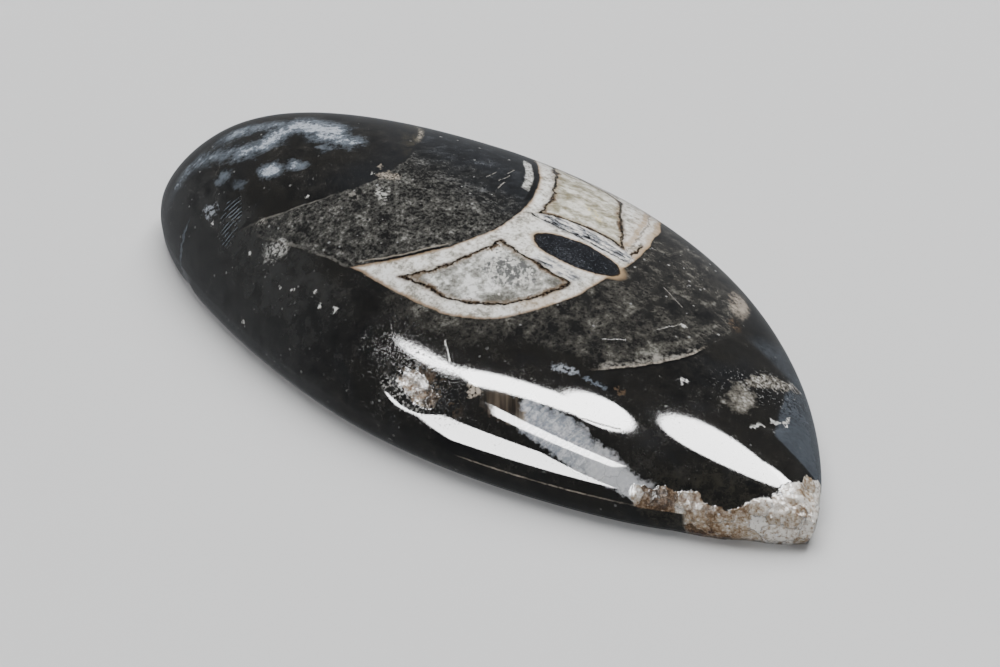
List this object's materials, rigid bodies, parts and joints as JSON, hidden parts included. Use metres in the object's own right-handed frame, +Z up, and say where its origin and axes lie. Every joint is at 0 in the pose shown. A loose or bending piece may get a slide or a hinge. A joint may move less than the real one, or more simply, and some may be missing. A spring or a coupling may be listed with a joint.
{
  "type": "polished orthoceras fossil",
  "caption": "Almond-shaped piece of black limestone, ground flat below and polished to a dome that cuts through the pale chambers and tube of a straight-shelled fossil",
  "frame": {"origin": "under the middle of the stone, on the flat underside", "axes": "+X along the stone to its pointed end, +Y across it, +Z up from the flat underside"},
  "size_m": [0.09, 0.0432, 0.0165],
  "materials": {
    "fossil_limestone": "polished, near-black with cream calcite"
  },
  "bodies": {
    "root": {"polished_fossil_stone": "fossil_limestone"}
  },
  "joints": []
}
